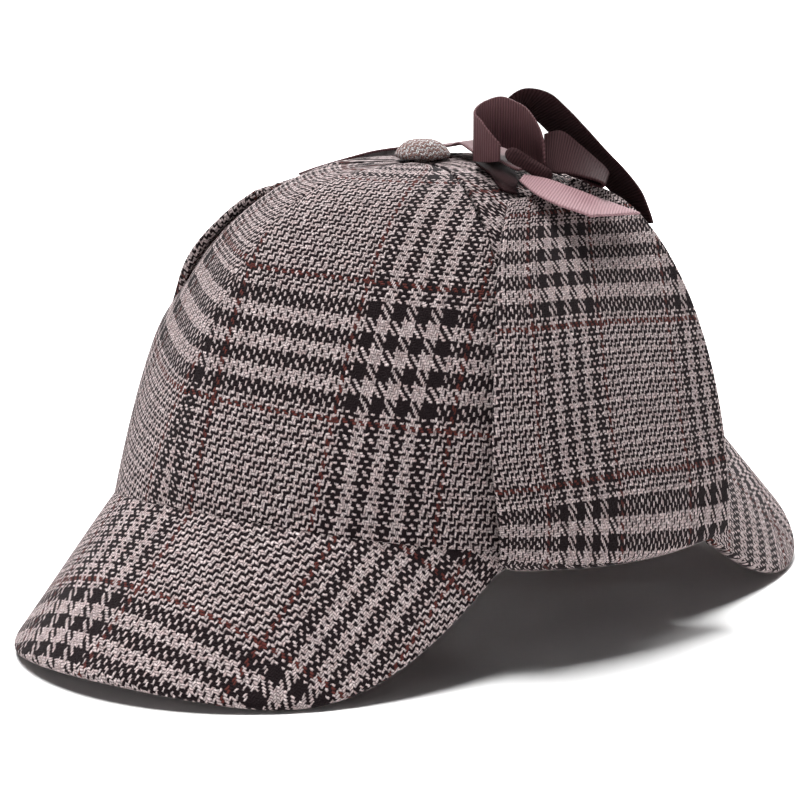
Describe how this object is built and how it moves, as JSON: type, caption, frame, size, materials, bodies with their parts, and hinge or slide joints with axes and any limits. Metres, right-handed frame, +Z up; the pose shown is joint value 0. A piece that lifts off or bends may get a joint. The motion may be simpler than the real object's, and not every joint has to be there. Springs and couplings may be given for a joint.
{
  "type": "deerstalker hat",
  "caption": "Deerstalker hat in checked tweed: domed crown of sewn panels with a cloth button, stiff front and rear peaks, and ear flaps turned up and tied on top with a grosgrain bow.",
  "frame": {"origin": "middle of the hat's footprint on the table it rests on", "axes": "+Z up from the table, -Y toward the hat's front, +X toward the wearer's left, where the bow sits"},
  "size_m": [0.192, 0.3024, 0.1593],
  "materials": {
    "crown_panel_1_tweed": "woven wool check",
    "crown_panel_2_tweed": "woven wool check",
    "crown_panel_3_tweed": "woven wool check",
    "crown_panel_4_tweed": "woven wool check",
    "crown_panel_5_tweed": "woven wool check",
    "crown_panel_6_tweed": "woven wool check",
    "top_button_tweed": "woven wool check",
    "front_peak_tweed": "woven wool check",
    "rear_peak_tweed": "woven wool check",
    "ear_flap_left_tweed": "woven wool check",
    "ear_flap_right_tweed": "woven wool check",
    "tie_right_grosgrain": "ribbed silk-like weave",
    "tie_left_grosgrain": "ribbed silk-like weave",
    "bow_knot_grosgrain": "ribbed silk-like weave",
    "bow_loop_front_grosgrain": "ribbed silk-like weave",
    "bow_loop_rear_grosgrain": "ribbed silk-like weave",
    "bow_tail_light_grosgrain": "ribbed silk-like weave",
    "bow_tail_dark_grosgrain": "ribbed silk-like weave"
  },
  "bodies": {
    "root": {"crown_panel_1": "crown_panel_1_tweed", "crown_panel_2": "crown_panel_2_tweed", "crown_panel_3": "crown_panel_3_tweed", "crown_panel_4": "crown_panel_4_tweed", "crown_panel_5": "crown_panel_5_tweed", "crown_panel_6": "crown_panel_6_tweed", "top_button": "top_button_tweed", "front_peak": "front_peak_tweed", "rear_peak": "rear_peak_tweed", "ear_flap_left": "ear_flap_left_tweed", "ear_flap_right": "ear_flap_right_tweed", "tie_right": "tie_right_grosgrain", "tie_left": "tie_left_grosgrain", "bow_knot": "bow_knot_grosgrain", "bow_loop_front": "bow_loop_front_grosgrain", "bow_loop_rear": "bow_loop_rear_grosgrain", "bow_tail_light": "bow_tail_light_grosgrain", "bow_tail_dark": "bow_tail_dark_grosgrain"}
  },
  "joints": []
}
